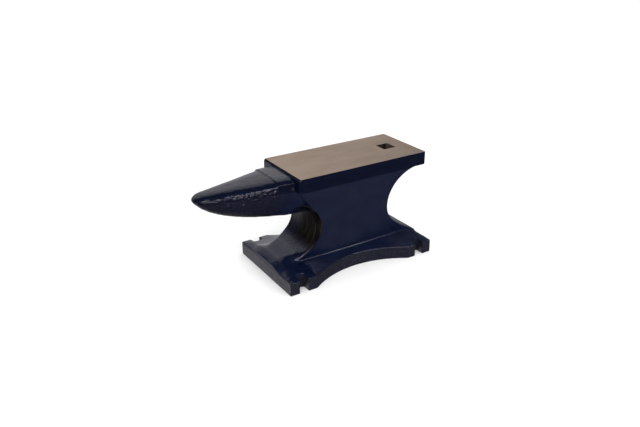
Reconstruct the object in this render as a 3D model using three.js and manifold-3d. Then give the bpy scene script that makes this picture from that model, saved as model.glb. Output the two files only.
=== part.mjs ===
// Smith's anvil, made up the traditional way from eight pieces: a core that stands on
// the ground, four corners that enlarge its base, a block whose end is the heel, a horn,
// and a steel plate that is the working face. A square hardy hole runs down through the
// plate, the heel block and the shoulder of the core.
// Millimetres, +Z up, the heel toward +X and the horn toward -X.
// The origin is on the ground, at the middle of the base.
import * as THREE from 'three';
import { mergeVertices } from 'three/addons/utils/BufferGeometryUtils.js';
import Module from 'manifold-3d';

// ---- Driving dimensions -----------------------------------------------------------

const HEIGHT = 184.2; // ground to working face
const FACE_WIDTH = 120;
const FACE_HORN_X = -111; // end of the face above the horn
const FACE_HEEL_X = 145.4; // end of the face at the heel
const PLATE_THICKNESS = 7.2;
const HEEL_THICKNESS = 24; // plate and block together
const FACE_CORNER_RADIUS = 0.8;
const HORN_END_CHAMFER = 2.5; // along the top edge of the plate at the horn

const HARDY_SIZE = 25.4; // side of the square hole
const HARDY_X = 103.7; // its centre

const BASE_HALF_LENGTH = 146.5;
const BASE_HALF_WIDTH = 88.1;
const BASE_EDGE = 23.6; // thickness at the outer edge of the corners
const CREASE_RISE = 7.6; // how much higher the corners are where they meet the core
const CREASE_RUN = 12; // the rise is complete this far in from the end of the base
const FEET_ARCH_HALF_SPAN = 96; // the long sides are hollowed between the feet
const FEET_ARCH_DEPTH = 29.3;

const SLOT_WIDTH = 16.8; // holding-down slots, open to the long sides
const SLOT_DEPTH = 17;
const SLOT_CORNER_RADIUS = 5;
const SLOT_X = 120.6;

// The core is widest under the block, hollows gently inward down its sides, and goes
// straight down below the crease, between the corners.
const WAIST_TOP_HALF_WIDTH = 60;
const CORE_FOOT_HALF_WIDTH = 43.4;
const CREASE_Z = 30;
const WAIST_HOLLOW = 1.3; // 1 is a straight taper; more is hollower
const WAIST_STEPS = 5;
const SHOULDER_STEPS = 6;

// Hollow under the horn: an arc, with a straight slope above it up to the block and a
// rounded shoulder below it down to the end of the base. Angles are from the horizontal.
const HORN_THROAT = { x: -110, z: 86, radius: 45, up: 38, down: 75 };
const HORN_END_SHOULDER = { x: -128, z: 39 };
const HORN_END_EDGE = 25.5;
// Hollow under the heel: an arc nearly tangent to the block, opening out below.
const HEEL_THROAT = { x: 134.3, z: 101, radius: 60.2 };
const HEEL_SWEEP = [{ x: 74.1, z: 68 }, { x: 96, z: 50 }];
const HEEL_END_EDGE = 26.5;

const TABLE_END_X = -137.4; // the table is level from the step to here
const TABLE_Z = 180.2;
const HORN_TIP = { x: -266.5, z: 162.6 };
const HORN_RIDGE_Z = 179.4; // top of the horn just past the table, a small step down
const HORN_RIDGE_TIP_Z = 171.2; // where the top line of the horn would meet the tip
const HORN_HALF_WIDTH = 41.2; // at the end of the table
const HORN_TAPER = 0.213; // half width lost for each unit toward the tip
const TABLE_TAPER = 0.08;
const HORN_NOSE = 17.8; // length of the rounded nose
const HORN_BELLY = [{ x: -66, z: 105.2 }, { x: -150, z: 105.2 }, { x: -241.2, z: 124.5 }, HORN_TIP];
const SHOULDER_DROP = 12; // top of the horn to its widest line
const TABLE_POWER = 0.5; // shape of the shoulders: less is squarer, 1 is an ellipse
const HORN_POWER = 0.67;
const BELLY_POWER = 0.9;
const FLARE = { start: -140, width: 17, drop: 40 }; // the root spreads to the core's width

// Sections of the horn, as shares of its belly line. The table ends between the two
// that are close together.
const HORN_STATIONS = [
  0, 0.05, 0.1, 0.15, 0.2, 0.25, 0.282, 0.285, 0.32, 0.4, 0.5, 0.6, 0.7, 0.78, 0.85,
  0.9, 0.93, 0.955, 0.975, 0.99, 0.998,
];

const GAP = 0.3; // between neighbouring pieces
const ARC_STEPS = 14;
const AROUND_HORN = 48;

// ---- Colours ----------------------------------------------------------------------

const navy = { color: 0x1d2748, roughness: 0.38, metalness: 0.1 };
const groundSteel = { color: 0xa59a8c, roughness: 0.42, metalness: 0.9 };

// ---- Solid helpers ----------------------------------------------------------------

const manifold = await Module();
manifold.setup();

function toSolid(geometry) {
  const bare = geometry.clone();
  bare.deleteAttribute('normal');
  bare.deleteAttribute('uv');
  const merged = mergeVertices(bare, 1e-4);
  return new manifold.Manifold(new manifold.Mesh({
    numProp: 3,
    vertProperties: new Float32Array(merged.attributes.position.array),
    triVerts: new Uint32Array(merged.index.array),
  }));
}

function toGeometry(solid) {
  const mesh = solid.getMesh();
  const geometry = new THREE.BufferGeometry();
  geometry.setAttribute('position', new THREE.BufferAttribute(mesh.vertProperties, 3));
  geometry.setIndex(new THREE.BufferAttribute(mesh.triVerts, 1));
  return geometry;
}

function cut(geometry, ...tools) {
  const carve = (solid, tool) => solid.subtract(toSolid(tool));
  return toGeometry(tools.reduce(carve, toSolid(geometry)));
}

function piece(name, geometry, look) {
  const plain = geometry.toNonIndexed();
  plain.computeVertexNormals();
  const mesh = new THREE.Mesh(plain, new THREE.MeshStandardMaterial(look));
  mesh.name = name;
  return mesh;
}

// A plan outline raised from z = low to z = high.
function slab(shape, low, high) {
  const options = { depth: high - low, bevelEnabled: false, curveSegments: 6 };
  return new THREE.ExtrudeGeometry(shape, options).translate(0, 0, low);
}

// A side outline drawn in x and z, extruded across the anvil from -halfWidth to +halfWidth.
function across(outline, halfWidth) {
  const options = { depth: 2 * halfWidth, bevelEnabled: false };
  const geometry = new THREE.ExtrudeGeometry(new THREE.Shape(outline), options);
  return geometry.rotateX(Math.PI / 2).translate(0, halfWidth, 0);
}

// A closed skin through rings of points, each ring with the same number of points,
// running counter-clockwise as seen looking back along the loft.
function loft(rings) {
  const around = rings[0].length;
  const positions = rings.flat().flatMap((p) => [p.x, p.y, p.z]);
  const triangles = [];
  for (let ring = 0; ring + 1 < rings.length; ring++) {
    for (let i = 0; i < around; i++) {
      const next = (i + 1) % around;
      const [a, b] = [ring * around + i, ring * around + next];
      triangles.push(a, b, a + around, b, b + around, a + around);
    }
  }
  const lastRing = (rings.length - 1) * around;
  for (let i = 1; i + 1 < around; i++) {
    triangles.push(0, i + 1, i, lastRing, lastRing + i, lastRing + i + 1);
  }
  const geometry = new THREE.BufferGeometry();
  geometry.setAttribute('position', new THREE.Float32BufferAttribute(positions, 3));
  geometry.setIndex(triangles);
  return geometry;
}

function arcPoints(centre, radius, fromDegrees, toDegrees) {
  const curve = new THREE.EllipseCurve(
    centre.x, centre.z, radius, radius,
    THREE.MathUtils.degToRad(fromDegrees), THREE.MathUtils.degToRad(toDegrees),
    toDegrees < fromDegrees,
  );
  return curve.getPoints(ARC_STEPS);
}

// ---- The anvil's outlines ---------------------------------------------------------

const blockBottom = HEIGHT - HEEL_THICKNESS;
const plateBottom = HEIGHT - PLATE_THICKNESS;
const coreTop = blockBottom - GAP;

// Half width of the core at height z.
function waistHalfWidth(z) {
  const up = THREE.MathUtils.clamp((z - CREASE_Z) / (coreTop - CREASE_Z), 0, 1);
  return CORE_FOOT_HALF_WIDTH + (WAIST_TOP_HALF_WIDTH - CORE_FOOT_HALF_WIDTH) * up ** WAIST_HOLLOW;
}

// Half width of the base at x: the long sides are hollowed by an arc between the feet.
function baseHalfWidth(x) {
  if (Math.abs(x) >= FEET_ARCH_HALF_SPAN) return BASE_HALF_WIDTH;
  const radius = (FEET_ARCH_HALF_SPAN ** 2 + FEET_ARCH_DEPTH ** 2) / (2 * FEET_ARCH_DEPTH);
  return BASE_HALF_WIDTH - FEET_ARCH_DEPTH + radius - Math.sqrt(radius ** 2 - x ** 2);
}

const point = ({ x, z }) => new THREE.Vector2(x, z);

// The slope and the arc of the hollow under the horn, downward from height top.
// grow moves them out of the body, for the clearance round the root of the horn.
function hornThroat(top, grow = 0) {
  const { radius, up, down } = HORN_THROAT;
  const arc = arcPoints(HORN_THROAT, radius - grow, up, -down);
  const lean = Math.tan(THREE.MathUtils.degToRad(up));
  return [new THREE.Vector2(arc[0].x - (top - arc[0].y) * lean, top), ...arc];
}

// From the foot of that arc over the rounded shoulder to the end of the base.
function hornEndShoulder(start) {
  const end = new THREE.Vector2(-BASE_HALF_LENGTH, HORN_END_EDGE);
  const curve = new THREE.QuadraticBezierCurve(start, point(HORN_END_SHOULDER), end);
  return curve.getPoints(SHOULDER_STEPS).slice(1);
}

// The hollow under the heel, from the end of the base up to the block.
function heelThroat() {
  const { x, z, radius } = HEEL_THROAT;
  const end = new THREE.Vector2(BASE_HALF_LENGTH, HEEL_END_EDGE);
  const throat = new THREE.Vector2(x - radius, z);
  const sweep = new THREE.CubicBezierCurve(end, point(HEEL_SWEEP[1]), point(HEEL_SWEEP[0]), throat);
  const up = THREE.MathUtils.radToDeg(Math.asin((coreTop - z) / radius));
  return [...sweep.getPoints(ARC_STEPS), ...arcPoints({ x, z }, radius, 180, 180 - up).slice(1)];
}

// ---- Pieces -----------------------------------------------------------------------

// From above the face down into the open hollow under the heel.
function hardyHole() {
  const depth = 2 * (HEIGHT - HEEL_THROAT.z);
  const tool = new THREE.BoxGeometry(HARDY_SIZE, HARDY_SIZE, depth);
  return tool.translate(HARDY_X, 0, HEIGHT);
}

function faceOutline() {
  const [x0, x1] = [FACE_HORN_X, FACE_HEEL_X];
  const [y0, y1, r] = [-FACE_WIDTH / 2, FACE_WIDTH / 2, FACE_CORNER_RADIUS];
  const outline = new THREE.Shape();
  outline.moveTo(x0 + r, y0).lineTo(x1 - r, y0).absarc(x1 - r, y0 + r, r, -Math.PI / 2, 0);
  outline.lineTo(x1, y1 - r).absarc(x1 - r, y1 - r, r, 0, Math.PI / 2);
  outline.lineTo(x0 + r, y1).absarc(x0 + r, y1 - r, r, Math.PI / 2, Math.PI);
  outline.lineTo(x0, y0 + r).absarc(x0 + r, y0 + r, r, Math.PI, 1.5 * Math.PI);
  return outline;
}

function facePlate() {
  const high = HEIGHT + GAP;
  const chamfer = HORN_END_CHAMFER + GAP;
  const edge = across([
    new THREE.Vector2(FACE_HORN_X - GAP, HEIGHT - HORN_END_CHAMFER),
    new THREE.Vector2(FACE_HORN_X + HORN_END_CHAMFER, HEIGHT),
    new THREE.Vector2(FACE_HORN_X + HORN_END_CHAMFER, high),
    new THREE.Vector2(FACE_HORN_X - chamfer, high),
  ], FACE_WIDTH);
  const solid = slab(faceOutline(), plateBottom, HEIGHT);
  return piece('face_plate', cut(solid, edge, hardyHole()), groundSteel);
}

function heelBlock() {
  const solid = slab(faceOutline(), blockBottom, plateBottom - GAP);
  return piece('heel_block', cut(solid, hardyHole()), navy);
}

function core() {
  const left = hornThroat(coreTop);
  const outline = [
    new THREE.Vector2(-BASE_HALF_LENGTH, 0),
    new THREE.Vector2(BASE_HALF_LENGTH, 0),
    ...heelThroat(),
    ...left,
    ...hornEndShoulder(left[left.length - 1]),
  ];
  const solid = toSolid(across(outline, FACE_WIDTH)).intersect(toSolid(coreBar()));
  return piece('core', cut(toGeometry(solid), hardyHole()), navy);
}

// A long bar with the core's cross-section.
function coreBar() {
  const side = [[CORE_FOOT_HALF_WIDTH, 0]];
  for (let i = 0; i <= WAIST_STEPS; i++) {
    const z = CREASE_Z + (coreTop - CREASE_Z) * i / WAIST_STEPS;
    side.push([waistHalfWidth(z), z]);
  }
  const section = [...side, ...side.map(([y, z]) => [-y, z]).reverse()];
  const ring = (x) => section.map(([y, z]) => new THREE.Vector3(x, y, z));
  return loft([ring(-2 * BASE_HALF_LENGTH), ring(2 * BASE_HALF_LENGTH)]);
}

// One corner of the base, from its end to the middle, for endSide and ySide of -1 or +1.
function baseCorner(name, endSide, ySide) {
  const inner = CORE_FOOT_HALF_WIDTH + GAP;
  const arch = Array.from({ length: ARC_STEPS }, (_, i) => FEET_ARCH_HALF_SPAN * (1 - i / ARC_STEPS));
  const stations = [BASE_HALF_LENGTH, BASE_HALF_LENGTH - CREASE_RUN, ...arch, GAP / 2];
  const rings = stations.map((x) => {
    const outer = baseHalfWidth(x);
    const rise = CREASE_RISE * Math.min(1, (BASE_HALF_LENGTH - x) / CREASE_RUN);
    return [[inner, 0], [outer, 0], [outer, BASE_EDGE], [inner, BASE_EDGE + rise]]
      .map(([y, z]) => new THREE.Vector3(endSide * x, ySide * y, z));
  });
  const solid = loft(endSide * ySide < 0 ? rings : rings.map((ring) => ring.reverse()));
  return piece(name, cut(solid, slotTool(endSide, ySide)), navy);
}

function slotTool(endSide, ySide) {
  const [half, r] = [SLOT_WIDTH / 2, SLOT_CORNER_RADIUS];
  const [mouth, end] = [BASE_HALF_WIDTH + half, BASE_HALF_WIDTH - SLOT_DEPTH];
  const outline = new THREE.Shape();
  outline.moveTo(half, mouth).lineTo(-half, mouth);
  outline.lineTo(-half, end + r).absarc(r - half, end + r, r, Math.PI, 1.5 * Math.PI);
  outline.lineTo(half - r, end).absarc(half - r, end + r, r, 1.5 * Math.PI, 2 * Math.PI);
  const tool = slab(outline, -BASE_EDGE, 2 * BASE_EDGE);
  if (ySide < 0) tool.rotateZ(Math.PI);
  return tool.translate(endSide * SLOT_X, 0, 0);
}

// Flat on top with round shoulders and a deep round belly, cut to fit the end of the
// block and the hollow below it.
function horn() {
  const belly = new THREE.CubicBezierCurve(...HORN_BELLY.map(point));
  const rings = HORN_STATIONS.map((t) => hornRing(belly.getPoint(t)));
  const front = FACE_HORN_X - GAP;
  const body = across([
    ...hornThroat(blockBottom - GAP, GAP).reverse(),
    new THREE.Vector2(front, blockBottom - GAP),
    new THREE.Vector2(front, HEIGHT + GAP),
    new THREE.Vector2(FACE_HEEL_X, HEIGHT + GAP),
    new THREE.Vector2(FACE_HEEL_X, 0),
  ], FACE_WIDTH);
  return piece('horn', cut(loft(rings), body), navy);
}

// The horn's section at x, where the belly is at height bottom.
function hornRing({ x, y: bottom }) {
  const past = TABLE_END_X - x;
  const nose = Math.max(0, 1 - (x - HORN_TIP.x) / HORN_NOSE);
  const round = Math.sqrt(1 - nose ** 2);
  const taper = past > 0 ? HORN_TAPER : TABLE_TAPER;
  const halfWidth = (HORN_HALF_WIDTH - taper * past) * round;
  const slope = (HORN_RIDGE_Z - HORN_RIDGE_TIP_Z) / (TABLE_END_X - HORN_TIP.x);
  const ridge = past > 0 ? HORN_RIDGE_Z - slope * past : TABLE_Z;
  const shoulderPower = past > 0 ? HORN_POWER : TABLE_POWER;
  const top = HORN_TIP.z + (ridge - HORN_TIP.z) * round;
  const middle = top - Math.min(SHOULDER_DROP, (top - bottom) / 2);
  const spread = Math.max(0, (x - FLARE.start) / (FACE_HORN_X - FLARE.start));
  return Array.from({ length: AROUND_HORN }, (_, i) => {
    const angle = 2 * Math.PI * i / AROUND_HORN;
    const [c, s] = [Math.cos(angle), Math.sin(angle)];
    const power = s > 0 ? shoulderPower : BELLY_POWER;
    const height = s > 0 ? top - middle : middle - bottom;
    const z = middle + height * Math.sign(s) * Math.abs(s) ** power;
    const below = THREE.MathUtils.clamp((middle - z) / FLARE.drop, 0, 1);
    const widest = Math.min(halfWidth + FLARE.width * spread ** 2 * below,
      Math.max(halfWidth, waistHalfWidth(z) - 1));
    return new THREE.Vector3(x, -widest * Math.sign(c) * Math.abs(c) ** power, z);
  });
}

const anvil = new THREE.Group();
anvil.add(facePlate(), heelBlock(), core(), horn());
anvil.add(baseCorner('base_corner_horn_front', -1, -1), baseCorner('base_corner_horn_back', -1, 1));
anvil.add(baseCorner('base_corner_heel_front', 1, -1), baseCorner('base_corner_heel_back', 1, 1));

export default anvil;
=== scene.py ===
# Looks of the smith's anvil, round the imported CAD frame.
#
# The eight CAD pieces are drawn again as one continuous sand casting, so that fillets, worn
# edges and the cast texture run across them. The casting is described as a signed distance
# (negative inside), turned into a mesh, roughened, and cut along the CAD's own joints into
# eight closed pieces. Work is in millimetres, +Z up, and becomes metres at the very end.
import itertools
import math

import bmesh
import bpy
import numpy as np
from mathutils import Euler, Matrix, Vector, noise


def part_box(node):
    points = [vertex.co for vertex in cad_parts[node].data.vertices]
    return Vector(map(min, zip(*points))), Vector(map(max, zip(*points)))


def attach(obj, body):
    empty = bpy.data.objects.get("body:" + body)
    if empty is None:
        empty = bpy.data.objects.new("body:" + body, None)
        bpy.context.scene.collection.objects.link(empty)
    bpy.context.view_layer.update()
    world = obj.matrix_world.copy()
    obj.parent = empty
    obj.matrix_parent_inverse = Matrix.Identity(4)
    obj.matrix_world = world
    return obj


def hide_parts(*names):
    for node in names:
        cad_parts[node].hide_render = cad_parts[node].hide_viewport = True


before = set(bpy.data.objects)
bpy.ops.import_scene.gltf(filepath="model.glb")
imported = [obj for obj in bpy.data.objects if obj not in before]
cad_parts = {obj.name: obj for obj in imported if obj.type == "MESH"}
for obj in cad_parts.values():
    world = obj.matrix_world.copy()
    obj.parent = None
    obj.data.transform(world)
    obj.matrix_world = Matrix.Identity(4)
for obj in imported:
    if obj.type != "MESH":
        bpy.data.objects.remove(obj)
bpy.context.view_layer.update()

MM = 0.001


def box_mm(*nodes):
    """Lowest and highest corner of some CAD nodes together, in millimetres."""
    corners = [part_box(node) for node in nodes]
    low = np.min([np.array(low) for low, _ in corners], axis=0) / MM
    high = np.max([np.array(high) for _, high in corners], axis=0) / MM
    return low, high


# ---- Dimensions, from the frame where the frame has them ----------------------------------

CORNERS = [f"base_corner_{end}_{side}" for end in ("horn", "heel") for side in ("front", "back")]
plate_low, plate_high = box_mm("face_plate")
block_low, _ = box_mm("heel_block")
_, base_high = box_mm(*CORNERS)
horn_low, horn_high = box_mm("horn")

HEIGHT = float(plate_high[2])
FACE_HORN_X, FACE_HEEL_X = float(plate_low[0]), float(plate_high[0])
FACE_HALF_WIDTH = float(plate_high[1])
PLATE_BOTTOM, BLOCK_BOTTOM = float(plate_low[2]), float(block_low[2])
HORN_TIP_X, TABLE_Z = float(horn_low[0]), float(horn_high[2])
BASE_HALF_LENGTH, BASE_HALF_WIDTH = float(base_high[0]), float(base_high[1])

HORN_END_CHAMFER = 2.5
GRIND_DEPTH = 0.8  # the casting stood this much higher before its face was ground flat
HARDY_SIZE, HARDY_X = 25.4, 103.7

BASE_EDGE, CREASE_RISE, CREASE_RUN = 23.6, 7.6, 12.0
ARCH_HALF_SPAN, ARCH_DEPTH = 96.0, 29.3
SLOT_WIDTH, SLOT_DEPTH, SLOT_CORNER, SLOT_X = 16.8, 17.0, 5.0, 120.6

CORE_FOOT_HALF_WIDTH, CREASE_Z, WAIST_HOLLOW = 43.4, 30.0, 1.3
THROAT_X, THROAT_Z, THROAT_RADIUS = -110.0, 86.0, 45.0
THROAT_UP, THROAT_DOWN = math.radians(38), math.radians(75)
SHOULDER_BEND = (-128.0, 39.0)
HORN_END_EDGE, HEEL_END_EDGE = 25.5, 26.5
HEEL_THROAT_X, HEEL_THROAT_Z, HEEL_THROAT_RADIUS = 134.3, 101.0, 60.2
HEEL_SWEEP = [(96.0, 50.0), (74.1, 68.0)]

TABLE_END_X = -137.4
HORN_TIP_Z, HORN_RIDGE_Z, HORN_RIDGE_TIP_Z = 162.6, 179.4, 171.2
HORN_HALF_WIDTH, HORN_TAPER, TABLE_TAPER = 41.2, 0.213, 0.08
HORN_NOSE, HORN_ROOT_X = 17.8, -66.0
HORN_BELLY = [(HORN_ROOT_X, 105.2), (-150.0, 105.2), (-241.2, 124.5), (HORN_TIP_X, HORN_TIP_Z)]
SHOULDER_DROP, TABLE_POWER, HORN_POWER, BELLY_POWER = 12.0, 0.5, 0.67, 0.9
FLARE_START, FLARE_WIDTH, FLARE_DROP = -140.0, 17.0, 40.0
TABLE_STEP = 2.5  # the table's end slopes over this length

# Fillets and worn edges, as the reach of the blend between two surfaces.
EDGE, BASE_TOP_WEAR, BASE_WEAR, CREASE_FILLET, HORN_FILLET = 2.2, 1.8, 1.2, 3.5, 2.5
# At the foot of the horn-end throat the waist's edges and its crease grow softer. Each pair is
# where that starts and where it is complete.
SHOULDER_EDGE, CREASE_GROWTH = 26.0, 3
SOFTER_EDGE_X, SOFTER_EDGE_Z, SOFTER_CREASE_X = (-75, -135), (70, 40), (-112, -140)

VOXEL = 1.25
MARGIN = 6.0  # of the sampled space round the anvil
NEAR_ZERO = 1e-6
FAR = 400.0  # beyond every part of it


# ---- Signed distances ----------------------------------------------------------------------

def smooth_max(a, b, reach):
    return np.maximum(a, b) + np.maximum(reach - np.abs(a - b), 0) ** 2 / (4 * reach)


def smooth_min(a, b, reach):
    return -smooth_max(-a, -b, reach)


def ramp(value, start, end):
    """0 up to start, 1 from end on, smooth between."""
    t = np.clip((value - start) / (end - start), 0, 1)
    return t * t * (3 - 2 * t)


def bezier(points, count):
    """Points along a Bezier curve of any order."""
    t = np.linspace(0, 1, count)[:, None]
    order = len(points) - 1
    return sum(math.comb(order, k) * t ** k * (1 - t) ** (order - k) * np.array(point)
               for k, point in enumerate(points))


def arc(x, z, radius, start, end, count):
    angle = np.linspace(start, end, count)
    return np.column_stack([x + radius * np.cos(angle), z + radius * np.sin(angle)])


def side_profile():
    """Outline of the waist and block in x and z, running past the ends of the base."""
    past = BASE_HALF_LENGTH + 4 * MARGIN
    heel_foot = (BASE_HALF_LENGTH, HEEL_END_EDGE)
    heel_slope = (HEEL_SWEEP[0][1] - HEEL_END_EDGE) / (HEEL_SWEEP[0][0] - BASE_HALF_LENGTH)
    heel_top = math.pi - math.asin((BLOCK_BOTTOM - HEEL_THROAT_Z) / HEEL_THROAT_RADIUS)
    throat = arc(THROAT_X, THROAT_Z, THROAT_RADIUS, THROAT_UP, -THROAT_DOWN, 24)
    lean = (BLOCK_BOTTOM - throat[0][1]) * math.tan(THROAT_UP)
    horn_foot = (-BASE_HALF_LENGTH, HORN_END_EDGE)
    horn_slope = (SHOULDER_BEND[1] - HORN_END_EDGE) / (SHOULDER_BEND[0] + BASE_HALF_LENGTH)
    run_on = past - BASE_HALF_LENGTH
    surplus = HEIGHT + GRIND_DEPTH
    return np.vstack([
        (-past, -2 * MARGIN), (past, -2 * MARGIN),
        (past, HEEL_END_EDGE + heel_slope * run_on),
        bezier([heel_foot, *HEEL_SWEEP, (HEEL_THROAT_X - HEEL_THROAT_RADIUS, HEEL_THROAT_Z)], 24),
        arc(HEEL_THROAT_X, HEEL_THROAT_Z, HEEL_THROAT_RADIUS, math.pi, heel_top, 16)[1:],
        (FACE_HEEL_X, BLOCK_BOTTOM), (FACE_HEEL_X, surplus),
        (FACE_HORN_X + HORN_END_CHAMFER + GRIND_DEPTH, surplus),
        (FACE_HORN_X, HEIGHT - HORN_END_CHAMFER), (FACE_HORN_X, BLOCK_BOTTOM),
        (throat[0][0] - lean, BLOCK_BOTTOM), throat,
        bezier([throat[-1], SHOULDER_BEND, horn_foot], 12)[1:],
        (-past, HORN_END_EDGE - horn_slope * run_on),
    ])


class ProfileGrid:
    """Distance to the side profile, sampled once on a fine grid and softened a little."""
    STEP = 0.5

    def __init__(self, outline, low, high, softening):
        self.low = np.array(low)
        xs, zs = (np.arange(low[i], high[i], self.STEP) for i in (0, 1))
        x, z = np.meshgrid(xs, zs, indexing="ij")
        nearest = np.full(x.shape, np.inf)
        inside = np.zeros(x.shape, bool)
        for (x0, z0), (x1, z1) in zip(outline, np.roll(outline, -1, axis=0)):
            dx, dz = x1 - x0, z1 - z0
            along = np.clip(((x - x0) * dx + (z - z0) * dz) / (dx * dx + dz * dz), 0, 1)
            nearest = np.minimum(nearest, np.hypot(x - x0 - along * dx, z - z0 - along * dz))
            if dz:
                inside ^= ((z0 > z) != (z1 > z)) & (x < x0 + (z - z0) * dx / dz)
        self.field = np.where(inside, -nearest, nearest)
        for _ in range(softening):
            for axis in (0, 1):
                around = np.roll(self.field, 1, axis) + np.roll(self.field, -1, axis)
                self.field = self.field / 2 + around / 4

    def __call__(self, x, z):
        u, v = (x - self.low[0]) / self.STEP, (z - self.low[1]) / self.STEP
        i = np.clip(u.astype(int), 0, self.field.shape[0] - 2)
        j = np.clip(v.astype(int), 0, self.field.shape[1] - 2)
        u, v = np.clip(u - i, 0, 1), np.clip(v - j, 0, 1)
        f = self.field
        return ((f[i, j] * (1 - u) + f[i + 1, j] * u) * (1 - v)
                + (f[i, j + 1] * (1 - u) + f[i + 1, j + 1] * u) * v)


GRID_LOW = np.array([HORN_TIP_X, -BASE_HALF_WIDTH, 0.0]) - MARGIN
GRID_HIGH = np.array([BASE_HALF_LENGTH, BASE_HALF_WIDTH, HEIGHT]) + MARGIN
profile = ProfileGrid(side_profile(), GRID_LOW[[0, 2]] - 1, GRID_HIGH[[0, 2]] + 1, softening=4)


def waist_half_width(z):
    up = np.clip((z - CREASE_Z) / (BLOCK_BOTTOM - CREASE_Z), 0, 1)
    return CORE_FOOT_HALF_WIDTH + (FACE_HALF_WIDTH - CORE_FOOT_HALF_WIDTH) * up ** WAIST_HOLLOW


def base_distance(x, y, z):
    """The spread foot, with its hollowed sides, slots and sloping top."""
    x, y = np.abs(x), np.abs(y)
    radius = (ARCH_HALF_SPAN ** 2 + ARCH_DEPTH ** 2) / (2 * ARCH_DEPTH)
    centre = BASE_HALF_WIDTH - ARCH_DEPTH + radius
    outline = smooth_max(y - BASE_HALF_WIDTH, radius - np.hypot(x, y - centre), BASE_WEAR)
    in_arch = centre - np.sqrt(np.maximum(radius ** 2 - x ** 2, 0))
    outer = np.where(x < ARCH_HALF_SPAN, in_arch, BASE_HALF_WIDTH)
    rise = CREASE_RISE * np.clip((BASE_HALF_LENGTH - x) / CREASE_RUN, 0, 1)
    climb = np.clip((outer - y) / (outer - CORE_FOOT_HALF_WIDTH), -1, 1)
    level = z - BASE_EDGE - rise * climb
    u = np.abs(x - SLOT_X) - SLOT_WIDTH / 2 + SLOT_CORNER
    v = BASE_HALF_WIDTH - SLOT_DEPTH + SLOT_CORNER - y
    slot = np.hypot(np.maximum(u, 0), np.maximum(v, 0)) + np.minimum(np.maximum(u, v), 0)
    outline = smooth_max(outline, SLOT_CORNER - slot, BASE_WEAR)
    outline = smooth_max(outline, x - BASE_HALF_LENGTH, BASE_WEAR)
    return smooth_max(outline, level, BASE_TOP_WEAR)


belly_curve = bezier(HORN_BELLY, 200)[::-1]


def horn_distance(x, y, z):
    """Roughly the distance to the horn: superellipse sections, flatter above the shoulder."""
    past = TABLE_END_X - x
    nose = np.clip(1 - (x - HORN_TIP_X) / HORN_NOSE, 0, 1)
    blunt = np.sqrt(np.maximum(1 - nose ** 2, NEAR_ZERO))
    half_width = (HORN_HALF_WIDTH - np.where(past > 0, HORN_TAPER, TABLE_TAPER) * past) * blunt
    slope = (HORN_RIDGE_Z - HORN_RIDGE_TIP_Z) / (TABLE_END_X - HORN_TIP_X)
    ridge = TABLE_Z - slope * np.maximum(past, 0)
    stepped = ramp(past, 0, TABLE_STEP)
    ridge -= (TABLE_Z - HORN_RIDGE_Z) * stepped
    shoulder_power = TABLE_POWER + (HORN_POWER - TABLE_POWER) * stepped
    top = HORN_TIP_Z + (ridge - HORN_TIP_Z) * blunt
    bottom = np.interp(x, belly_curve[:, 0], belly_curve[:, 1])
    middle = top - np.minimum(SHOULDER_DROP, (top - bottom) / 2)
    spread = np.clip((x - FLARE_START) / (FACE_HORN_X - FLARE_START), 0, 1.5)
    flare = FLARE_WIDTH * spread ** 2 * np.clip((middle - z) / FLARE_DROP, 0, 1)
    widest = np.maximum(half_width, waist_half_width(z) - 1)
    half_width = np.maximum(np.minimum(half_width + flare, widest), NEAR_ZERO)
    above = z > middle
    power = np.where(above, 2 / shoulder_power, 2 / BELLY_POWER)
    half_height = np.maximum(np.where(above, top - middle, middle - bottom), NEAR_ZERO)
    a = np.maximum(np.abs(y) / half_width, NEAR_ZERO)
    b = np.maximum(np.abs(z - middle) / half_height, NEAR_ZERO)
    biggest = np.maximum(a, b)
    size = biggest * ((a / biggest) ** power + (b / biggest) ** power) ** (1 / power)
    steepness = np.hypot((a / size) ** (power - 1) / half_width,
                         (b / size) ** (power - 1) / half_height)
    section = (size - 1) / np.maximum(steepness, NEAR_ZERO)
    beyond = np.hypot(np.hypot(x - HORN_TIP_X, y), z - HORN_TIP_Z)
    section = np.where(x < HORN_TIP_X, beyond, section)
    return np.maximum(section, x - HORN_ROOT_X - 2)


def casting_distance(points):
    x, y, z = points.T
    width = np.abs(y) - waist_half_width(z)
    soften = ramp(x, *SOFTER_EDGE_X) * ramp(z, *SOFTER_EDGE_Z)
    body = smooth_max(profile(x, z), width, EDGE + (SHOULDER_EDGE - EDGE) * soften)
    ends = np.where(z < HEEL_THROAT_Z, np.abs(x) - BASE_HALF_LENGTH, -FAR)
    body = smooth_max(body, ends, BASE_TOP_WEAR)
    fillet = CREASE_FILLET * (1 + CREASE_GROWTH * ramp(x, *SOFTER_CREASE_X))
    solid = smooth_min(body, base_distance(x, y, z), fillet)
    solid = np.maximum(solid, ends)
    solid = np.maximum(solid, -MARGIN / 2 - z)
    return smooth_min(solid, horn_distance(x, y, z), HORN_FILLET)


# ---- From the distance to a mesh -----------------------------------------------------------

def sample_grid():
    axes = [np.arange(low, high + VOXEL, VOXEL) for low, high in zip(GRID_LOW, GRID_HIGH)]
    y, z = np.meshgrid(axes[1], axes[2], indexing="ij")
    layers = []
    for x in axes[0]:
        points = np.column_stack([np.full(y.size, x), y.ravel(), z.ravel()])
        layers.append(casting_distance(points).reshape(y.shape))
    return np.array(layers)


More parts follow.
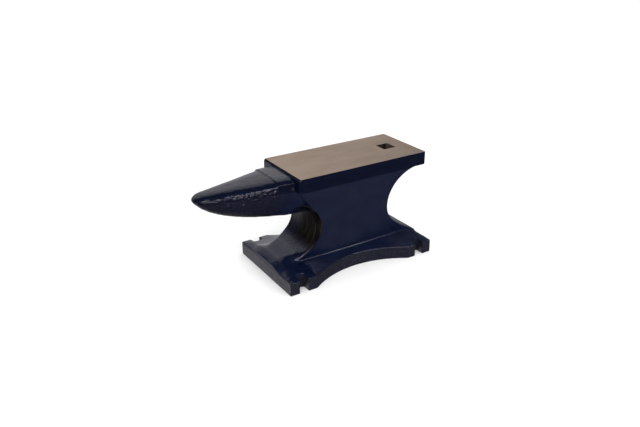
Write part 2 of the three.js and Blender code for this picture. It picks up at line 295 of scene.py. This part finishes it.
def surface_net(field):
    """A vertex in each cell that the surface crosses, and a quad across each crossed edge."""
    inside = field < 0
    last = [n - 1 for n in field.shape]
    count = np.zeros(last, np.int8)
    for i, j, k in itertools.product((0, 1), repeat=3):
        count += inside[i:i + last[0], j:j + last[1], k:k + last[2]]
    active = (count > 0) & (count < 8)
    cells = np.argwhere(active)
    number = np.full(active.shape, -1)
    number[active] = np.arange(len(cells))
    total, crossings = np.zeros((len(cells), 3)), np.zeros((len(cells), 1))
    quads = []
    for axis in range(3):
        step = np.eye(3, dtype=int)[axis]
        side_a, side_b = np.eye(3, dtype=int)[(axis + 1) % 3], np.eye(3, dtype=int)[(axis + 2) % 3]
        for offset in (0 * step, side_a, side_b, side_a + side_b):
            start = cells + offset
            f0, f1 = field[tuple(start.T)], field[tuple((start + step).T)]
            hit = (f0 < 0) != (f1 < 0)
            part = (f0[hit] / (f0[hit] - f1[hit]))[:, None]
            total[hit] += start[hit] + part * step
            crossings[hit] += 1
        head, tail = (np.take(inside, range(a, last[axis] + a), axis) for a in (0, 1))
        edges = np.argwhere(head != tail)
        ring = [number[tuple((edges - back).T)]
                for back in (0 * step, side_a, side_a + side_b, side_b)]
        ring = np.column_stack(ring)
        outward = head[tuple(edges.T)]
        quads.append(ring[outward])
        quads.append(ring[~outward][:, ::-1])
    vertices = GRID_LOW + VOXEL * total / crossings
    return vertices, np.vstack(quads)


def slope_of_distance(points):
    reach = 0.25
    ends = [casting_distance(points + sign * reach * axis) for axis in np.eye(3) for sign in (1, -1)]
    return np.column_stack([ends[0] - ends[1], ends[2] - ends[3], ends[4] - ends[5]]) / (2 * reach)


SETTLE_ROUNDS, LEAST_SQUARED_SLOPE = 3, 0.1


def settle(points):
    """Moves points onto the surface, and gives the surface's normals there."""
    for _ in range(SETTLE_ROUNDS):
        slope = slope_of_distance(points)
        steep = np.maximum((slope ** 2).sum(1), LEAST_SQUARED_SLOPE)
        move = -casting_distance(points) / steep
        points = points + np.clip(move, -VOXEL, VOXEL)[:, None] * slope
    slope = slope_of_distance(points)
    return points, slope / np.linalg.norm(slope, axis=1, keepdims=True)


# ---- Roughness of the sand casting ---------------------------------------------------------

# Each of these is a height, a wavelength, and a shift to a place of its own in the noise.
LONG_WAVES, SHORT_WAVES, PEBBLES = (0.20, 22, 3.1), (0.05, 9, 7.7), (0.48, 5.0, 1.3)
# Pebbles grow from none to all of their height between each of these pairs.
HORN_SKIN_X = (-112, -148)
FLANK_TOP_Z, FLANK_BOTTOM_Z, BASE_RIM_Z = (172, 160), (95, 112), (26, 20)
RIM_PEBBLES, PEBBLES_ELSEWHERE = 0.5, 0.08


def noise_at(points, height, wavelength, shift):
    """Smooth noise of about this height either way, one lump per wavelength."""
    shifted = points / wavelength + shift
    return height * np.array([noise.noise(point) for point in shifted.tolist()])


def horn_part(points):
    """1 on the horn, 0 on the body."""
    return ramp(points[:, 0], *HORN_SKIN_X)


def pebble_amount(points):
    """Where the sand left a pebbled skin: the horn's flanks and the rim of the base."""
    z = points[:, 2]
    flank = horn_part(points) * ramp(z, *FLANK_TOP_Z) * ramp(z, *FLANK_BOTTOM_Z)
    rim = RIM_PEBBLES * ramp(z, *BASE_RIM_Z)
    return np.clip(flank + rim + PEBBLES_ELSEWHERE, 0, 1)


def roughen(points, normals):
    waves = noise_at(points, *LONG_WAVES) + noise_at(points, *SHORT_WAVES)
    pebbles = noise_at(points, *PEBBLES) * pebble_amount(points)
    return points + normals * (waves + pebbles)[:, None]


# ---- Cutting the casting into its pieces ---------------------------------------------------

SPLIT_Y = CORE_FOOT_HALF_WIDTH + 0.15  # the middle of the CAD's gap at the base corners
CORNER_TOP = CREASE_Z + 5
HORN_CUT_Z = 103.0
HARDY_CORNER = 1.2
SHARP_ANGLE = math.radians(60)


def prism(name, outline, low, high, axis):
    """A closed prism: an outline in x and z swept along y, or in x and y swept along z."""
    count = len(outline)
    if axis == "y":
        corners = [(u, w, v) for w in (low, high) for u, v in outline]
    else:
        corners = [(u, v, w) for w in (low, high) for u, v in outline]
    faces = [tuple(range(count)), tuple(range(count, 2 * count))]
    faces += [(i, (i + 1) % count, (i + 1) % count + count, i + count) for i in range(count)]
    mesh = bpy.data.meshes.new(name)
    mesh.from_pydata((np.array(corners) * MM).tolist(), [], faces)
    tool = bpy.data.objects.new(name, mesh)
    bpy.context.collection.objects.link(tool)
    shape = bmesh.new()
    shape.from_mesh(mesh)
    bmesh.ops.recalc_face_normals(shape, faces=shape.faces)
    shape.to_mesh(mesh)
    shape.free()
    return tool


def drop_flaps(mesh):
    """Removes what a cut can leave of no thickness: two faces back to back on the same corners."""
    shape = bmesh.new()
    shape.from_mesh(mesh)
    sharing = {}
    for face in shape.faces:
        sharing.setdefault(frozenset(vertex.index for vertex in face.verts), []).append(face)
    flaps = [face for faces in sharing.values() if len(faces) > 1 for face in faces]
    bmesh.ops.delete(shape, geom=flaps, context="FACES")
    shape.to_mesh(mesh)
    shape.free()


def carve(source, name, *steps):
    """A new object: source cut by (operation, tool) steps in turn."""
    result = bpy.data.objects.new(name, source.data.copy())
    bpy.context.collection.objects.link(result)
    for operation, tool in steps:
        modifier = result.modifiers.new(operation, "BOOLEAN")
        modifier.operation = operation
        modifier.object = tool
        modifier.solver = "MANIFOLD"
    bpy.context.view_layer.update()
    evaluated = result.evaluated_get(bpy.context.evaluated_depsgraph_get())
    mesh = bpy.data.meshes.new_from_object(evaluated)
    result.modifiers.clear()
    old, result.data = result.data, mesh
    bpy.data.meshes.remove(old)
    mesh.name = name
    drop_flaps(mesh)
    mesh.set_sharp_from_angle(angle=SHARP_ANGLE)
    return result


def rounded_square(centre_x, size, corner, per_corner=5):
    half = size / 2 - corner
    turns = np.linspace(0, math.pi / 2, per_corner)
    points = []
    for quarter, (sx, sy) in enumerate([(1, 1), (-1, 1), (-1, -1), (1, -1)]):
        for turn in turns + quarter * math.pi / 2:
            points.append((centre_x + sx * half + corner * math.cos(turn),
                           sy * half + corner * math.sin(turn)))
    return points


def rectangle(u0, u1, v0, v1):
    return [(u0, v0), (u1, v0), (u1, v1), (u0, v1)]


def casting_mesh():
    points, quads = surface_net(sample_grid())
    points, normals = settle(points)
    points = roughen(points, normals)
    mesh = bpy.data.meshes.new("casting")
    mesh.from_pydata((points * MM).tolist(), [], quads.tolist())
    mesh.shade_smooth()
    casting = bpy.data.objects.new("casting", mesh)
    bpy.context.collection.objects.link(casting)
    return casting


def cut_pieces():
    """The eight pieces, by the names of the CAD nodes that they stand for."""
    whole = casting_mesh()
    lean = math.tan(THROAT_UP)
    root_x = THROAT_X + THROAT_RADIUS * math.cos(THROAT_UP)
    root_z = THROAT_Z + THROAT_RADIUS * math.sin(THROAT_UP)
    cut_x = root_x + (root_z - HORN_CUT_Z) * lean
    step_z = root_z + (root_x - FACE_HORN_X) / lean
    horn_side = [(-FAR, HORN_CUT_Z), (cut_x, HORN_CUT_Z), (FACE_HORN_X, step_z),
                 (FACE_HORN_X, HEIGHT), (-FAR, HEIGHT)]
    body_side = [(-FAR, 0), (FAR, 0), (FAR, BLOCK_BOTTOM), (FACE_HORN_X, BLOCK_BOTTOM),
                 (FACE_HORN_X, step_z), (cut_x, HORN_CUT_Z), (-FAR, HORN_CUT_Z)]
    block = rectangle(FACE_HORN_X, FAR, BLOCK_BOTTOM, PLATE_BOTTOM)
    plate = rectangle(FACE_HORN_X, FAR, PLATE_BOTTOM, HEIGHT)
    square = rounded_square(HARDY_X, HARDY_SIZE, HARDY_CORNER)
    hole = prism("hole", square, HEEL_THROAT_Z, 2 * HEIGHT, "z")
    tools = [hole]

    def cutter(outline):
        tools.append(prism("cutter", outline, -FAR, FAR, "y"))
        return tools[-1]

    def corner_cutter(end, side):
        xs, ys = sorted((0, end * FAR)), sorted((side * SPLIT_Y, side * FAR))
        tools.append(prism("cutter", rectangle(*xs, *ys), 0, CORNER_TOP, "z"))
        return tools[-1]

    holed = carve(whole, "holed", ("DIFFERENCE", hole))
    pieces = {
        "face_plate": carve(holed, "face_plate", ("INTERSECT", cutter(plate))),
        "heel_block": carve(holed, "heel_block", ("INTERSECT", cutter(block))),
        "horn": carve(holed, "horn", ("INTERSECT", cutter(horn_side))),
    }
    steps = [("INTERSECT", cutter(body_side))]
    for end, end_name in ((-1, "horn"), (1, "heel")):
        for side, side_name in ((-1, "front"), (1, "back")):
            tool = corner_cutter(end, side)
            steps.append(("DIFFERENCE", tool))
            name = f"base_corner_{end_name}_{side_name}"
            pieces[name] = carve(holed, name, ("INTERSECT", tool))
    pieces["core"] = carve(holed, "core", *steps)
    for spare in (whole, holed, *tools):
        mesh = spare.data
        bpy.data.objects.remove(spare)
        bpy.data.meshes.remove(mesh)
    return pieces


# ---- Materials -----------------------------------------------------------------------------

class Nodes:
    """Shorthand for building a material's node tree."""

    def __init__(self, name):
        self.material = bpy.data.materials.new(name)
        self.material.use_nodes = True
        self.tree = self.material.node_tree
        self.shader = self.tree.nodes["Principled BSDF"]

    def add(self, kind, **values):
        node = self.tree.nodes.new(kind)
        for key, value in values.items():
            self.put(node, key, value)
        return node

    def put(self, node, key, value):
        if key.startswith("_"):
            socket = node.inputs[int(key[1:])]
        elif hasattr(node, key):
            setattr(node, key, value)
            return
        else:
            socket = node.inputs[key.replace("_", " ")]
        if isinstance(value, bpy.types.NodeSocket):
            self.tree.links.new(value, socket)
        else:
            socket.default_value = value

    def shade(self, **values):
        for key, value in values.items():
            self.put(self.shader, key, value)

    def math(self, operation, a, b=0.0):
        return self.add("ShaderNodeMath", operation=operation, _0=a, _1=b).outputs[0]

    def mix(self, factor, a, b):
        node = self.add("ShaderNodeMix", data_type="RGBA")
        self.put(node, "_0", factor)
        self.put(node, "_6", a)
        self.put(node, "_7", b)
        return node.outputs[2]

    def spread(self, value, low, high, to_low=0.0, to_high=1.0):
        node = self.add("ShaderNodeMapRange", interpolation_type="SMOOTHSTEP")
        for index, number in enumerate((value, low, high, to_low, to_high)):
            self.put(node, f"_{index}", number)
        return node.outputs[0]

    def place(self, stretch=(1, 1, 1)):
        """The object's own coordinates, in metres, stretched along each axis."""
        where = self.add("ShaderNodeTexCoord").outputs["Object"]
        return self.add("ShaderNodeMapping", Vector=where, Scale=stretch).outputs[0]

    def noise(self, wavelength, detail=2.0, roughness=0.5, stretch=(1, 1, 1)):
        return self.add("ShaderNodeTexNoise", Vector=self.place(stretch), Scale=1 / wavelength,
                        Detail=detail, Roughness=roughness).outputs["Fac"]

    def mask(self, name):
        return self.add("ShaderNodeAttribute", attribute_name=name).outputs["Fac"]

    def bump(self, height, distance, under=None):
        node = self.add("ShaderNodeBump", Height=height, Distance=distance, Strength=1.0)
        if under is not None:
            self.put(node, "Normal", under)
        return node.outputs["Normal"]


# Colours are linear red, green, blue and alpha. Wavelengths and bump heights are in metres.
NAVY = (0.0020, 0.0042, 0.0160, 1)
NAVY_CLOUD = (0.0038, 0.0066, 0.0215, 1)
# Greyer pebbled skin, painted lighter also as a painted reflection of the pale floor.
NAVY_PEBBLES_AND_SHEEN = (0.0050, 0.0050, 0.0120, 1)
# Painted shade: the block's sides are painted darker than the waist below them.
NAVY_BLOCK_SHADE = (0.0006, 0.0020, 0.0085, 1)
# Painted reflection: the base's rim is painted lighter and greyer, as if it caught the pale floor.
NAVY_RIM_SHEEN = (0.0120, 0.0125, 0.0195, 1)
# Dark worn iron in the horn-end throat, darkened also as painted shade under the horn.
THROAT_WEAR_AND_SHADE = (0.0022, 0.0018, 0.0017, 1)
# Pale brown streaks in the throat: rust stains and painted reflection of warm surroundings.
THROAT_STAIN_AND_REFLECTION = (0.021, 0.015, 0.010, 1)
CHIPPED_EDGE = (0.05, 0.055, 0.08, 1)
STEEL_DARK = (0.41, 0.30, 0.225, 1)
STEEL_PALE = (0.49, 0.365, 0.285, 1)
STEEL_LINE = (0.55, 0.425, 0.34, 1)
# Painted highlight: a lighter line along the ground face's edges, where a small chamfer would catch
# the light.
STEEL_EDGE_HIGHLIGHT = (0.54, 0.455, 0.39, 1)
GRIME_DARK = (0.010, 0.008, 0.004, 1)
GRIME_PALE = (0.05, 0.04, 0.027, 1)
# Painted light: the hole's wall towards the heel is painted lighter, as if lit.
LIT_HOLE_WALL = (0.16, 0.125, 0.09, 1)


def enamel_colour(m):
    """Navy with faint clouds, painted shade darker on the block, greyer with painted reflection on
    the base's rim and the pebbled skin, worn and darkened with painted shade in the throat, streaked
    there with rust and painted reflection.
    """
    base = m.mix(m.spread(m.noise(0.03, 3), 0.35, 0.65), NAVY, NAVY_CLOUD)
    # The pebbled flank and rim get the greyer skin colour, lightened also as painted reflection.
    base = m.mix(m.math("MULTIPLY", m.mask("pebble"), 0.8), base, NAVY_PEBBLES_AND_SHEEN)
    height = m.add("ShaderNodeSeparateXYZ", Vector=m.place()).outputs["Z"]
    # Painted shade: darker from the block's lower edge upwards.
    block_shade = m.spread(height, (BLOCK_BOTTOM - 1.2) * MM, (BLOCK_BOTTOM + 0.8) * MM, 0, 0.85)
    base = m.mix(block_shade, base, NAVY_BLOCK_SHADE)
    # Painted reflection of the floor on the base's side bands, below the top edge.
    rim_sheen = m.spread(height, (BASE_EDGE - 2.6) * MM, (BASE_EDGE + 0.4) * MM, 0.8, 0)
    base = m.mix(rim_sheen, base, NAVY_RIM_SHEEN)
    # Streaks of rust and painted reflection across the throat patch.
    streak = m.noise(0.004, 3, 0.6, stretch=(0.12, 1, 0.08))
    stain_and_reflection = m.math("MULTIPLY", m.mask("throat"), m.spread(streak, 0.5, 0.66))
    # The throat patch: worn iron, and painted shade where the horn shades it.
    base = m.mix(m.mask("throat"), base, THROAT_WEAR_AND_SHADE)
    base = m.mix(stain_and_reflection, base, THROAT_STAIN_AND_REFLECTION)
    edge = m.spread(m.add("ShaderNodeNewGeometry").outputs["Pointiness"], 0.53, 0.6)
    chips = m.math("MULTIPLY", edge, m.spread(m.noise(0.004, 3), 0.5, 0.62))
    return m.mix(m.math("MULTIPLY", chips, 0.5), base, CHIPPED_EDGE)


def navy_enamel():
    m = Nodes("navy_enamel")
    base = enamel_colour(m)
    grain = m.noise(0.0011, 3, 0.6)
    pebbles = m.noise(0.0042, 1, 0.4)
    orange_peel = m.noise(0.006, 1)
    rough = m.spread(m.noise(0.012, 3), 0.35, 0.7, 0.16, 0.24)
    rough = m.math("ADD", rough, m.math("MULTIPLY", m.mask("throat"), 0.25))
    gloss = m.spread(m.mask("throat"), 0, 1, 0.5, 0.05)
    pebbled = m.math("MULTIPLY", pebbles, m.mask("pebble"))
    normal = m.bump(orange_peel, 0.0004)
    normal = m.bump(pebbled, 0.0034, under=normal)
    normal = m.bump(grain, 0.00004, under=normal)
    m.shade(Base_Color=base, Roughness=rough, Normal=normal, IOR=1.45,
            Specular_IOR_Level=gloss, Specular_Tint=(0.90, 0.86, 1.0, 1))
    return m.material


def ground_steel():
    m = Nodes("ground_steel")
    lines = m.noise(0.0009, 3, 0.6, stretch=(0.03, 1, 1))
    fine = m.noise(0.0003, 2, 0.6, stretch=(0.01, 1, 1))
    along, side, _ = m.add("ShaderNodeSeparateXYZ", Vector=m.place()).outputs
    from_rim = m.math("SUBTRACT", FACE_HALF_WIDTH * MM, m.math("ABSOLUTE", side))
    from_rim = m.math("MINIMUM", from_rim, m.math("SUBTRACT", FACE_HEEL_X * MM, along))
    from_rim = m.math("MINIMUM", from_rim, m.math("SUBTRACT", along, FACE_HORN_X * MM))
    mottle = m.noise(0.03, 4, 0.6, stretch=(0.5, 1, 1))
    base = m.mix(m.spread(mottle, 0.3, 0.7), STEEL_DARK, STEEL_PALE)
    base = m.mix(m.spread(lines, 0.3, 0.7, 0, 0.25), base, STEEL_LINE)
    # Painted highlight within about two millimetres of the face's edges.
    base = m.mix(m.spread(from_rim, 0.0010, 0.0022, 1, 0), base, STEEL_EDGE_HIGHLIGHT)
    rough = m.spread(lines, 0.3, 0.7, 0.36, 0.5)
    normal = m.bump(lines, 0.00006)
    normal = m.bump(fine, 0.00002, under=normal)
    m.shade(Base_Color=base, Metallic=1.0, Roughness=rough, Normal=normal)
    return m.material


def raw_hole():
    m = Nodes("raw_hole")
    grime = m.noise(0.008, 4, 0.6)
    base = m.mix(m.spread(grime, 0.35, 0.65), GRIME_DARK, GRIME_PALE)
    along = m.add("ShaderNodeSeparateXYZ", Vector=m.place()).outputs["X"]
    heel_wall = (HARDY_X + HARDY_SIZE / 2) * MM
    # Painted light on the hole's heel-side wall.
    lit_wall = m.spread(along, heel_wall - 0.002, heel_wall, 0, 0.8)
    base = m.mix(lit_wall, base, LIT_HOLE_WALL)
    m.shade(Base_Color=base, Metallic=0.6, Roughness=m.spread(grime, 0.3, 0.7, 0.75, 0.5),
            Normal=m.bump(m.noise(0.002, 3), 0.0003))
    return m.material


PAINT, STEEL, HOLE = 0, 1, 2
TOUCHING = 0.01  # millimetres, and how level or upright a face has to be
WALL_REACH = 0.05


def face_materials(mesh):
    """Bare steel on the ground face, grimy walls in the hole, paint on the rest."""
    count = len(mesh.polygons)
    centre, normal = np.zeros(count * 3), np.zeros(count * 3)
    mesh.polygons.foreach_get("center", centre)
    mesh.polygons.foreach_get("normal", normal)
    centre, normal = centre.reshape(-1, 3) / MM, normal.reshape(-1, 3)
    index = np.full(count, PAINT)
    index[(centre[:, 2] > HEIGHT - TOUCHING) & (normal[:, 2] > 1 - TOUCHING)] = STEEL
    reach = HARDY_SIZE / 2 + WALL_REACH
    in_hole = (np.abs(centre[:, 0] - HARDY_X) < reach) & (np.abs(centre[:, 1]) < reach)
    index[in_hole & (np.abs(normal[:, 2]) < TOUCHING)] = HOLE
    mesh.polygons.foreach_set("material_index", index.astype(np.int32))
    mesh.polygons.foreach_set("use_smooth", index != STEEL)


def store(mesh, name, values):
    layer = mesh.attributes.new(name, "FLOAT", "POINT")
    layer.data.foreach_set("value", values.astype(np.float32))


# The dark, matte patch in the horn-end throat, worn iron and painted shade under the horn: its
# spread off the throat's arc, and its fade along each axis. The last number is how much of it is
# gone at the far side.
OFF_THROAT, WEAR_AND_SHADE_X, WEAR_AND_SHADE_Z, WEAR_AND_SHADE_Y, WEAR_AND_SHADE_FADE = (1.5, 3), (-112, -96), (36, 62), (-5, 30), 0.6


def vertex_masks(mesh):
    points = np.zeros(len(mesh.vertices) * 3)
    mesh.vertices.foreach_get("co", points)
    points = points.reshape(-1, 3) / MM
    x, y, z = points.T
    store(mesh, "pebble", pebble_amount(points))
    from_centre = np.hypot(x - THROAT_X, z - THROAT_Z)
    on_arc = 1 - ramp(np.abs(from_centre - THROAT_RADIUS), *OFF_THROAT)
    # Where the throat is painted dark: wear, and painted shade under the horn.
    wear_and_shade = ramp(x, *WEAR_AND_SHADE_X) * ramp(z, *WEAR_AND_SHADE_Z) * (1 - WEAR_AND_SHADE_FADE * ramp(y, *WEAR_AND_SHADE_Y))
    store(mesh, "throat", on_arc * wear_and_shade)


def dress(pieces):
    looks = [navy_enamel(), ground_steel(), raw_hole()]
    for name, piece in pieces.items():
        piece.name = f"cast_{name}"
        piece.data.materials.clear()
        for look in looks:
            piece.data.materials.append(look)
        face_materials(piece.data)
        vertex_masks(piece.data)
        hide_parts(name)
        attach(piece, "root")


# ---- Studio --------------------------------------------------------------------------------

CAMERA_PLACE, CAMERA_TURN = (-0.58381, -0.86520, 0.55866), (65.233, 0, -32.377)
LENS, SENSOR_WIDTH = 36.36, 36.0
FLOOR_RINGS = [(6, 0), (8, 0.4), (9.5, 1.6), (10.5, 4), (11, 8)]  # radius and height
FLOOR_WHITE = 0.92
LIGHTS_AIM = (0, 0, 0.1)
SKY_BRIGHTNESS = 0.07
# Direction, where the patch begins and is full (as the cosine), and brightness.
SKY_PATCHES = [
    ((0.15, 0.80, 0.58), 0.86, 0.94, 0.78),  # softbox high up behind
    ((0.35, 0.93, 0.10), 0.82, 0.95, 0.85),  # pale wall behind
    ((-0.40, 0.70, -0.59), 0.60, 0.95, 0.60),  # pale table on the horn's side
    ((0.50, -0.45, -0.74), 0.92, 0.99, 0.22),  # pale table in front
]


def make_camera():
    data = bpy.data.cameras.new("camera")
    data.lens, data.sensor_width = LENS, SENSOR_WIDTH
    data.clip_start, data.clip_end = 0.01, 50
    camera = bpy.data.objects.new("camera", data)
    camera.location = CAMERA_PLACE
    camera.rotation_euler = Euler([math.radians(angle) for angle in CAMERA_TURN])
    bpy.context.collection.objects.link(camera)
    bpy.context.scene.camera = camera


def make_floor():
    """A pale sheet, flat round the anvil and turned up far away."""
    around = 64
    corners = [(radius * math.cos(turn), radius * math.sin(turn), height)
               for radius, height in FLOOR_RINGS for turn in np.linspace(0, math.tau, around, False)]
    faces = [tuple(range(around))]
    for start in range(0, (len(FLOOR_RINGS) - 1) * around, around):
        for i in range(around):
            next_i = (i + 1) % around
            faces.append((start + i, start + around + i, start + around + next_i, start + next_i))
    mesh = bpy.data.meshes.new("floor")
    mesh.from_pydata(corners, [], faces)
    m = Nodes("floor")
    white = (FLOOR_WHITE, FLOOR_WHITE, FLOOR_WHITE, 1)
    m.shade(Base_Color=white, Roughness=1.0, Specular_IOR_Level=0.0)
    mesh.materials.append(m.material)
    floor = bpy.data.objects.new("floor", mesh)
    bpy.context.collection.objects.link(floor)
    floor.visible_glossy = False


def make_light(name, towards, distance, size, power):
    """A soft light, placed in a direction from the anvil and facing it."""
    data = bpy.data.lights.new(name, "AREA")
    data.shape, data.energy = "RECTANGLE", power
    data.size, data.size_y = size
    light = bpy.data.objects.new(name, data)
    direction = Vector(towards).normalized()
    light.location = Vector(LIGHTS_AIM) + direction * distance
    light.rotation_euler = direction.to_track_quat("Z", "Y").to_euler()
    light.visible_camera = False
    bpy.context.collection.objects.link(light)


def make_sun():
    """Even, very soft light from above, which also keeps the floor white everywhere."""
    data = bpy.data.lights.new("sun", "SUN")
    data.energy, data.angle = 3.3, math.radians(140)
    sun = bpy.data.objects.new("sun", data)
    sun.visible_glossy = False
    bpy.context.collection.objects.link(sun)


class Sky:
    """Brightness of the studio in each direction, built as a node tree."""

    def __init__(self, tree):
        self.tree = tree
        self.towards = self.add("ShaderNodeTexCoord").outputs["Generated"]

    def add(self, kind, *values, **settings):
        node = self.tree.nodes.new(kind)
        for key, value in settings.items():
            setattr(node, key, value)
        for socket, value in zip(node.inputs, values):
            if isinstance(value, bpy.types.NodeSocket):
                self.tree.links.new(value, socket)
            else:
                socket.default_value = value
        return node

    def patch(self, direction, low, high, brightness):
        """A soft round patch of light, given by the dot product with its direction."""
        dot = self.add("ShaderNodeVectorMath", self.towards, direction, operation="DOT_PRODUCT")
        return self.add("ShaderNodeMapRange", dot.outputs["Value"], low, high, 0.0, brightness,
                        interpolation_type="SMOOTHSTEP").outputs[0]

    def brighter(self, a, b):
        return self.add("ShaderNodeMath", a, b, operation="MAXIMUM").outputs[0]


def make_world():
    """A dim studio with the pale things in it that the paint reflects."""
    world = bpy.data.worlds.new("studio")
    bpy.context.scene.world = world
    world.use_nodes = True
    sky = Sky(world.node_tree)
    strength = SKY_BRIGHTNESS
    for patch in SKY_PATCHES:
        strength = sky.brighter(strength, sky.patch(*patch))
    background = world.node_tree.nodes["Background"]
    background.inputs["Color"].default_value = (1, 1, 1, 1)
    world.node_tree.links.new(strength, background.inputs["Strength"])


def make_studio():
    make_camera()
    make_floor()
    make_world()
    make_light("strip", (-0.33, -0.84, 0.43), 1.6, (1.8, 0.12), 13)
    make_light("spot", (0.49, -0.72, 0.49), 1.6, (0.12, 0.12), 3.5)
    make_sun()
    bpy.context.scene.view_settings.view_transform = "Standard"


make_studio()
dress(cut_pieces())
